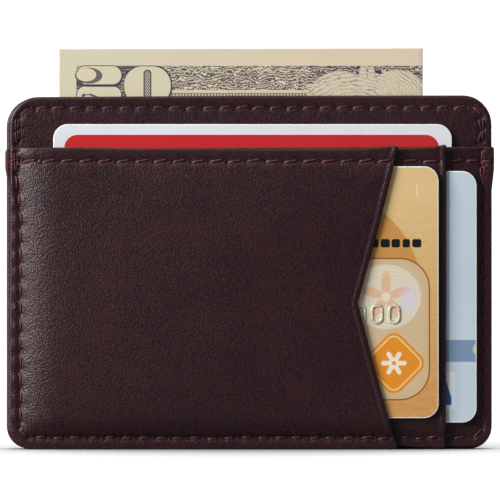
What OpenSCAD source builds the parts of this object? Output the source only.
/* Slim front-pocket wallet, standing on its long bottom edge and loaded with three cards and
   a folded banknote. Millimetres. +X is to the right seen from the front, +Z is up, and the
   front, with its side-loading card pockets, faces -Y. The origin is the middle of the base. */

/* [Body] */
// Width of the wallet
body_w = 104.4; // [98:0.2:112]
// Height of the wallet
body_h = 75.4; // [73:0.2:80]
// Radius of the two top corners
top_corner_r = 6.2; // [5:0.1:7]
// Radius of the two bottom corners
bottom_corner_r = 4.8; // [4.5:0.1:6]

/* [Leather] */
// Thickness of the divider and back panels
shell_t = 0.9; // [0.8:0.1:1.2]
// Thickness of the pocket panels
pocket_t = 0.7; // [0.6:0.1:1]
// Thickness of the stiffener bonded inside a body panel
stiffener_t = 0.25; // [0.2:0.05:0.4]
// Thickness of the lining cloth
lining_t = 0.2; // [0.15:0.05:0.3]
// Width of the margin that is turned back and sewn
hem_w = 4; // [3.6:0.1:4.4]

/* [Pockets] */
// Height of the pocket panels
pocket_h = 64.6; // [64:0.2:67]
// How far the rear pocket panel stands out past the body's sides at its top
ear_out = 0.5; // [0.2:0.1:0.8]
// Height over which those ears taper back to the body
ear_h = 10; // [6:1:14]
// Front pocket's mouth: distance from the middle at top and bottom
front_mouth_x = 32; // [28:0.5:34]
// Front pocket's mouth: depth of its V notch
notch_depth = 8.7; // [4:0.1:10]
// Front pocket's mouth: height of the V's point
notch_z = 31.4; // [24:0.2:40]
// Middle pocket's mouth: distance from the middle
middle_mouth_x = 42.3; // [41.6:0.1:43.5]

/* [Cards] */
// Card length, as in ISO/IEC 7810 ID-1
card_w = 85.6; // [85.47:0.01:85.72]
// Card height
card_h = 53.98; // [53.92:0.01:54.03]
// Card thickness
card_t = 0.76; // [0.68:0.01:0.84]
// Card corner radius
card_r = 3.18; // [2.88:0.01:3.48]
// Free play on each face of a card in its slot
card_play = 0.07; // [0.04:0.01:0.1]
// Front card: right edge, from the middle
front_card_right = 40.6; // [40:0.1:41.4]
// Front card: bottom edge
front_card_z = 6.7; // [5:0.1:7]
// Middle card: right edge
middle_card_right = 48.8; // [47:0.1:49.5]
// Middle card: bottom edge
middle_card_z = 5.7; // [5:0.1:7]
// Rear card: right edge
rear_card_right = 43.5; // [41:0.1:45]
// Rear card: bottom edge
rear_card_z = 15.8; // [6:0.1:20]

/* [Banknote] */
// Width of the note once folded in half
note_w = 78; // [70:0.5:80]
// Height of the note
note_h = 66.3; // [60:0.1:69]
// Thickness of the paper
note_leaf_t = 0.12; // [0.1:0.01:0.14]
// Right edge of the note, where its fold is
note_right = 37.3; // [30:0.1:44]
// Bottom edge of the note
note_z = 19.7; // [6:0.1:22]

/* [Window pocket] */
// Width of the window opening
window_w = 74; // [66:0.5:76]
// Height of the window opening
window_h = 42; // [36:0.5:44]
// Bottom of the window opening
window_z = 9.5; // [9:0.1:11]
// Radius of the thumb notch in the pocket's mouth
thumb_r = 8.5; // [6:0.5:8.5]

/* [Stitching] */
// Distance of the seams from the edge they follow
seam_inset = 2.5; // [2.3:0.1:2.6]
// Length of one stitch with its gap
stitch_pitch = 3.7; // [3.4:0.1:4.2]
// Visible length of one stitch
stitch_len = 2.7; // [2.2:0.1:2.8]
// Thickness of the thread
thread_d = 0.36; // [0.3:0.02:0.36]

/* [Hidden] */

$fn = 64;
leather = "#3b2226";
leather_edge = "#2c181b";
cloth = "#231a1c";
board = "#8a7560";
thread = "#7a2f36";
overcut = 1;                        // how far a cutting shape runs past what it cuts
slant = 5;                          // degrees that each stitch leans from its seam
seam_r = 3;                         // corner radius of the seams
groove_w = 1;
groove_depth = 0.4;
stitch_lift = 0.02;                 // from the groove's floor to the thread
film_t = 0.2;
film_lap = 3;                       // how far the film reaches past its opening
chip_size = [12.6, 11.4];
chip_r = 1.6;
chip_t = 0.3;
chip_from_left = 9.6;               // the contact module's place on an ISO/IEC 7816 card
chip_from_top = 19.1;
fold_gap = 0.06;                    // between the note's two leaves
window_r = 4;
window_seam_gap = 2;                // from the opening's edge to its seam
top_hem_w = 3.3;                    // depth of the sewn band along a closed pocket top

slot_t = card_t + 2 * card_play;
note_t = 2 * note_leaf_t + fold_gap;
cash_gap = note_t + 0.2;
back_t = shell_t + stiffener_t + lining_t;

// The stack from the front face to the back face; LAYER holds each layer's thickness.
LAYER = [pocket_t, slot_t, pocket_t, slot_t, pocket_t, slot_t,
         back_t, cash_gap, back_t, slot_t, film_t, pocket_t];
function sum_to(n) = n == 0 ? 0 : LAYER[n - 1] + sum_to(n - 1);
function layer_y(n) = sum_to(n) - sum_to(len(LAYER)) / 2;

front_y = layer_y(0);
front_slot_y = layer_y(1);
middle_y = layer_y(2);
middle_slot_y = layer_y(3);
rear_y = layer_y(4);
rear_slot_y = layer_y(5);
divider_y = layer_y(6);
cash_y = layer_y(7);
back_y = layer_y(8);
window_slot_y = layer_y(9);
film_y = layer_y(10);
frame_y = layer_y(11);
back_face_y = layer_y(12);

half_w = body_w / 2;
seam_x = half_w - seam_inset;
divider_seam_z = body_h - seam_inset;
pocket_seam_z = pocket_h - seam_inset - 0.2;
window_low = [-window_w / 2, window_z];
window_high = [window_w / 2, window_z + window_h];

// The straight runs of the body's seams, each from one end to the other in X and Z.
half_stitch = stitch_len / 2 + 0.1;
run_end_x = seam_x - seam_r;
run_low_z = seam_inset + seam_r;
run_high_z = divider_seam_z - seam_r;
LEFT_RUN = [[-seam_x, run_high_z], [-seam_x, run_low_z]];
BOTTOM_RUN = [[-run_end_x, seam_inset], [run_end_x, seam_inset]];
RIGHT_RUN = [[seam_x, run_low_z], [seam_x, run_high_z]];
TOP_RUN = [[-run_end_x, divider_seam_z], [run_end_x, divider_seam_z]];
POCKET_TOP_RUN = [[-seam_x + groove_w, pocket_seam_z], [seam_x - groove_w, pocket_seam_z]];

// ---------------------------------------------------------------- outlines and slabs

// Half width of the front pocket's mouth line at height z.
function front_mouth(z) = z > notch_z
    ? front_mouth_x - notch_depth * (pocket_h - z) / (pocket_h - notch_z)
    : front_mouth_x - notch_depth * z / notch_z;

// A flat sheet standing in the XZ plane, its front face at y and its thickness t.
module sheet(y, t)
    translate([0, y + t, 0])
        rotate([90, 0, 0])
            linear_extrude(t)
                children();

// A square corner at the origin, cut to radius r. It points to -X and -Z.
module corner_cutter(r)
    difference() {
        translate([-overcut, -overcut])
            square(r + overcut);
        translate([r, r])
            circle(r);
    }

// A rectangle from low to high with its own radius at the top and bottom corners.
module rounded(low, high, r_top, r_bottom)
    difference() {
        translate(low)
            square(high - low);
        translate(low)
            corner_cutter(r_bottom);
        translate([high.x, low.y])
            mirror([1, 0])
                corner_cutter(r_bottom);
        translate(high)
            rotate(180)
                corner_cutter(r_top);
        translate([low.x, high.y])
            mirror([0, 1])
                corner_cutter(r_top);
    }

module body_outline(inset = 0)
    rounded([-half_w + inset, inset], [half_w - inset, body_h - inset],
            max(top_corner_r - inset, 1.5), max(bottom_corner_r - inset, 1.5));

// The part of the body's outline below the pocket mouths.
module pocket_outline()
    intersection() {
        body_outline();
        translate([-half_w, 0])
            square([body_w, pocket_h]);
    }

module front_outline()
    intersection() {
        pocket_outline();
        polygon([[-half_w, 0], [front_mouth_x, 0], [front_mouth_x - notch_depth, notch_z],
                 [front_mouth_x, pocket_h], [-half_w, pocket_h]]);
    }

module middle_outline()
    intersection() {
        pocket_outline();
        translate([-half_w, 0])
            square([half_w + middle_mouth_x, pocket_h]);
    }

// The band at the rear pocket's top that stands out past the body at both sides.
module ears()
    polygon([[-half_w, pocket_h - ear_h], [half_w, pocket_h - ear_h],
             [half_w + ear_out, pocket_h - ear_h / 2], [half_w + ear_out, pocket_h],
             [-half_w - ear_out, pocket_h], [-half_w - ear_out, pocket_h - ear_h / 2]]);

// ---------------------------------------------------------------- seams

// The shallow channel that the perimeter seam is sunk in, all round the body.
module seam_ring()
    difference() {
        rounded([-seam_x - groove_w / 2, seam_inset - groove_w / 2],
                [seam_x + groove_w / 2, divider_seam_z + groove_w / 2],
                seam_r + groove_w / 2, seam_r + groove_w / 2);
        rounded([-seam_x + groove_w / 2, seam_inset + groove_w / 2],
                [seam_x - groove_w / 2, divider_seam_z - groove_w / 2],
                seam_r - groove_w / 2, seam_r - groove_w / 2);
    }

module pocket_seam_strip()
    translate([-seam_x, pocket_seam_z - groove_w / 2])
        square([2 * seam_x, groove_w]);

module front_grooves(y, with_top = true)
    sheet(y - overcut, groove_depth + overcut) {
        seam_ring();
        if (with_top) pocket_seam_strip();
    }

module back_grooves(y)
    sheet(y - groove_depth, groove_depth + overcut)
        seam_ring();

// One stitch: a length of thread centred at x, z on the face at y. sink is +1 on a face that
// looks to -Y and -1 on a face that looks to +Y, so that the thread lies in its groove.
module stitch(x, z, y, angle, sink)
    translate([x, y + sink * (groove_depth - stitch_lift - thread_d / 2), z])
        rotate([0, 90 - angle - slant, 0])
            cylinder(h = stitch_len, d = thread_d, center = true, $fn = 16);

// The middles of the stitches on a straight run from a to b, each a point in X and Z.
function run_points(a, b) =
    let (n = round(norm(b - a) / stitch_pitch))
        [for (i = [0:n - 1]) a + (b - a) * (i + 0.5) / n];
function run_angle(a, b) = atan2(b.y - a.y, b.x - a.x);

// The face seen from the front at a point: the foremost panel there.
function seen_y(p) = p.y > pocket_h ? divider_y
    : p.x > middle_mouth_x ? rear_y
    : p.x > front_mouth(p.y) ? middle_y
    : front_y;
function seen_back_y(p) = p.y > pocket_h ? window_slot_y : back_face_y;

// A stitch is left out where it would straddle the edge of a panel.
function on_one_panel(p, upright) = upright
    ? abs(p.y - pocket_h) > half_stitch
    : abs(p.x - middle_mouth_x) > half_stitch && abs(p.x - front_mouth(p.y)) > half_stitch;

// How far along each axis a corner's single stitch lies from the centre of the corner's arc
// of radius r: half way between the arc and the stitch's own chord.
function corner_reach(r) = (r + sqrt(r * r - pow(stitch_len / 2, 2))) / 2 / sqrt(2);
function corner_point(side, up, z) =
    [side * (run_end_x + corner_reach(seam_r)), z + up * corner_reach(seam_r)];

module front_run(run, upright)
    for (p = run_points(run[0], run[1]))
        if (on_one_panel(p, upright))
            stitch(p.x, p.y, seen_y(p), run_angle(run[0], run[1]), 1);

module back_run(run, upright)
    for (p = run_points(run[0], run[1]))
        if (!upright || on_one_panel(p, true))
            stitch(p.x, p.y, seen_back_y(p), run_angle(run[0], run[1]), -1);

module perimeter_seam()
    color(thread) {
        front_run(LEFT_RUN, true);
        front_run(BOTTOM_RUN, false);
        front_run(RIGHT_RUN, true);
        back_run(LEFT_RUN, true);
        back_run(BOTTOM_RUN, false);
        back_run(RIGHT_RUN, true);
        for (side = [-1, 1]) {
            p = corner_point(side, -1, run_low_z);
            stitch(p.x, p.y, seen_y(p), side * 45 - slant, 1);
            stitch(p.x, p.y, seen_back_y(p), side * 45 - slant, -1);
        }
    }

// A top seam passes through one body panel only, so that the cash pocket stays open.
module top_seam(y, sink)
    color(thread) {
        for (p = run_points(TOP_RUN[0], TOP_RUN[1]))
            stitch(p.x, p.y, y, 0, sink);
        for (side = [-1, 1]) {
            p = corner_point(side, 1, run_high_z);
            stitch(p.x, p.y, y, -side * 45 - slant, sink);
        }
    }

module divider_top_seam()
    top_seam(divider_y, 1);

module back_top_seam()
    top_seam(window_slot_y, -1);

module pocket_top_seam()
    color(thread)
        for (p = run_points(POCKET_TOP_RUN[0], POCKET_TOP_RUN[1]))
            if (on_one_panel(p, false))
                stitch(p.x, p.y, seen_y(p), 0, 1);

// ---------------------------------------------------------------- body panels

// A body panel with its margin turned over the recess that its stiffener and lining lie in.
// recess_y is where the cut for that recess starts; it runs on past the panel's open face.
module body_panel(y, recess_y)
    difference() {
        sheet(y, back_t)
            body_outline();
        sheet(recess_y, stiffener_t + lining_t + overcut)
            body_outline(hem_w);
    }

module divider_panel()
    color(leather)
        difference() {
            body_panel(divider_y, divider_y + shell_t);
            front_grooves(divider_y, with_top = false);
        }

module divider_stiffener()
    color(board)
        sheet(divider_y + shell_t, stiffener_t)
            body_outline(hem_w);

module divider_lining()
    color(cloth)
        sheet(divider_y + shell_t + stiffener_t, lining_t)
            body_outline(hem_w);

module back_panel()
    color(leather)
        difference() {
            body_panel(back_y, back_y - overcut);
            back_grooves(window_slot_y);
        }

module back_lining()
    color(cloth)
        sheet(back_y, lining_t)
            body_outline(hem_w);

module back_stiffener()
    color(board)
        sheet(back_y + lining_t, stiffener_t)
            body_outline(hem_w);

// ---------------------------------------------------------------- turned hems

// The margin of the left and bottom edges, and of the right and top edges where the pocket
// is closed there. What is left between them is the slot.
module hem_shape(right, top)
    difference() {
        intersection() {
            pocket_outline();
            translate([-half_w, 0])
                square([half_w + (right ? half_w : middle_mouth_x), pocket_h]);
        }
        translate([-half_w + hem_w, hem_w])
            square([right ? body_w - 2 * hem_w : body_w,
                    top ? pocket_h - hem_w - top_hem_w : body_h]);
    }

module front_pocket_hem()
    color(leather_edge)
        sheet(front_slot_y, slot_t)
            intersection() {
                hem_shape(false, true);
                front_outline();
            }

module middle_pocket_hem()
    color(leather_edge)
        sheet(middle_slot_y, slot_t)
            hem_shape(false, true);

module rear_pocket_hem()
    color(leather_edge)
        sheet(rear_slot_y, slot_t)
            hem_shape(true, false);

module cash_pocket_hem()
    color(leather_edge)
        sheet(cash_y, cash_gap)
            difference() {
                body_outline();
                translate([-half_w + hem_w, hem_w])
                    square([body_w - 2 * hem_w, body_h]);
            }

module window_pocket_hem()
    color(leather_edge)
        sheet(window_slot_y, slot_t + film_t)
            hem_shape(true, false);

// ---------------------------------------------------------------- pocket panels

module front_pocket_panel()
    color(leather)
        difference() {
            sheet(front_y, pocket_t)
                front_outline();
            front_grooves(front_y);
        }

module middle_pocket_panel()
    color(leather)
        difference() {
            sheet(middle_y, pocket_t)
                middle_outline();
            front_grooves(middle_y);
        }

module rear_pocket_panel()
    color(leather)
        difference() {
            sheet(rear_y, pocket_t)
                union() {
                    pocket_outline();
                    ears();
                }
            front_grooves(rear_y);
        }

// ---------------------------------------------------------------- window pocket on the back

module window_outline(grow = 0)
    rounded(window_low - [grow, grow], window_high + [grow, grow],
            window_r + grow, window_r + grow);

module window_groove()
    difference() {
        window_outline(window_seam_gap + groove_w / 2);
        window_outline(window_seam_gap - groove_w / 2);
    }

module window_pocket_frame()
    color(leather)
        difference() {
            sheet(frame_y, pocket_t)
                difference() {
                    pocket_outline();
                    window_outline();
                    translate([0, pocket_h])
                        circle(thumb_r);
                }
            back_grooves(back_face_y);
            sheet(back_face_y - groove_depth, groove_depth + overcut) {
                window_groove();
                pocket_seam_strip();
            }
        }

module window_film()
    color("#dfe6ea", 0.4)
        sheet(film_y, film_t)
            window_outline(film_lap);

// Four straight runs of stitches round the window and one stitch turning each corner.
module window_seam() {
    r = window_r + window_seam_gap;
    low = window_low + [r - window_seam_gap, r - window_seam_gap];
    high = window_high - [r - window_seam_gap, r - window_seam_gap];
    middle = (low + high) / 2;
    half = (high - low) / 2;
    reach = corner_reach(r);
    color(thread) {
        for (run = [[[low.x, low.y - r], [high.x, low.y - r]],
                    [[low.x, high.y + r], [high.x, high.y + r]],
                    [[low.x - r, low.y], [low.x - r, high.y]],
                    [[high.x + r, low.y], [high.x + r, high.y]]])
            for (p = run_points(run[0], run[1]))
                stitch(p.x, p.y, back_face_y, run_angle(run[0], run[1]), -1);
        for (side = [-1, 1], up = [-1, 1])
            stitch(middle.x + side * (half.x + reach), middle.y + up * (half.y + reach),
                   back_face_y, -side * up * 45 - slant, -1);
    }
}

module window_pocket_top_seam()
    color(thread)
        for (p = run_points(POCKET_TOP_RUN[0], POCKET_TOP_RUN[1]))
            if (abs(p.x) > thumb_r + half_stitch)
                stitch(p.x, p.y, back_face_y, 0, -1);

// ---------------------------------------------------------------- contents

function card_low(right, z) = [right - card_w, z];

// A card whose lower right corner is at right, z, in the slot that starts at slot_y.
module card(right, z, slot_y)
    sheet(slot_y + card_play, card_t)
        rounded(card_low(right, z), [right, z + card_h], card_r, card_r);

module chip_shape(right, z) {
    low = [right - card_w + chip_from_left, z + card_h - chip_from_top - chip_size.y];
    rounded(low, low + chip_size, chip_r, chip_r);
}

module chip_card(right, z, slot_y)
    difference() {
        card(right, z, slot_y);
        sheet(slot_y + card_play - overcut, chip_t + overcut)
            chip_shape(right, z);
    }

module chip(right, z, slot_y)
    color("#c9a552")
        sheet(slot_y + card_play, chip_t)
            chip_shape(right, z);

module front_card()
    color("#d8b46a")
        chip_card(front_card_right, front_card_z, front_slot_y);

module front_card_chip()
    chip(front_card_right, front_card_z, front_slot_y);

module middle_card()
    color("#b9c6cf")
        chip_card(middle_card_right, middle_card_z, middle_slot_y);

module middle_card_chip()
    chip(middle_card_right, middle_card_z, middle_slot_y);

module rear_card()
    color("#c3272f")
        card(rear_card_right, rear_card_z, rear_slot_y);

// Two leaves joined by a round fold at the right edge, seen from above.
module note_profile() {
    fold_r = note_t / 2;
    flat_w = note_w - fold_r;
    translate([-note_w, 0]) {
        square([flat_w, note_leaf_t]);
        translate([0, note_leaf_t + fold_gap])
            square([flat_w, note_leaf_t]);
    }
    translate([-fold_r, fold_r])
        difference() {
            circle(fold_r);
            circle(fold_gap / 2);
            translate([-note_t, -note_t])
                square([note_t, 2 * note_t]);
        }
}

module banknote()
    color("#ddd2b4")
        translate([note_right, cash_y + (cash_gap - note_t) / 2, note_z])
            linear_extrude(note_h)
                note_profile();

// ---------------------------------------------------------------- nodes

back_panel();
back_stiffener();
back_lining();
divider_panel();
divider_stiffener();
divider_lining();
cash_pocket_hem();
rear_pocket_panel();
rear_pocket_hem();
middle_pocket_panel();
middle_pocket_hem();
front_pocket_panel();
front_pocket_hem();
window_pocket_frame();
window_pocket_hem();
window_film();
perimeter_seam();
divider_top_seam();
back_top_seam();
pocket_top_seam();
window_seam();
window_pocket_top_seam();
front_card();
front_card_chip();
middle_card();
middle_card_chip();
rear_card();
banknote();
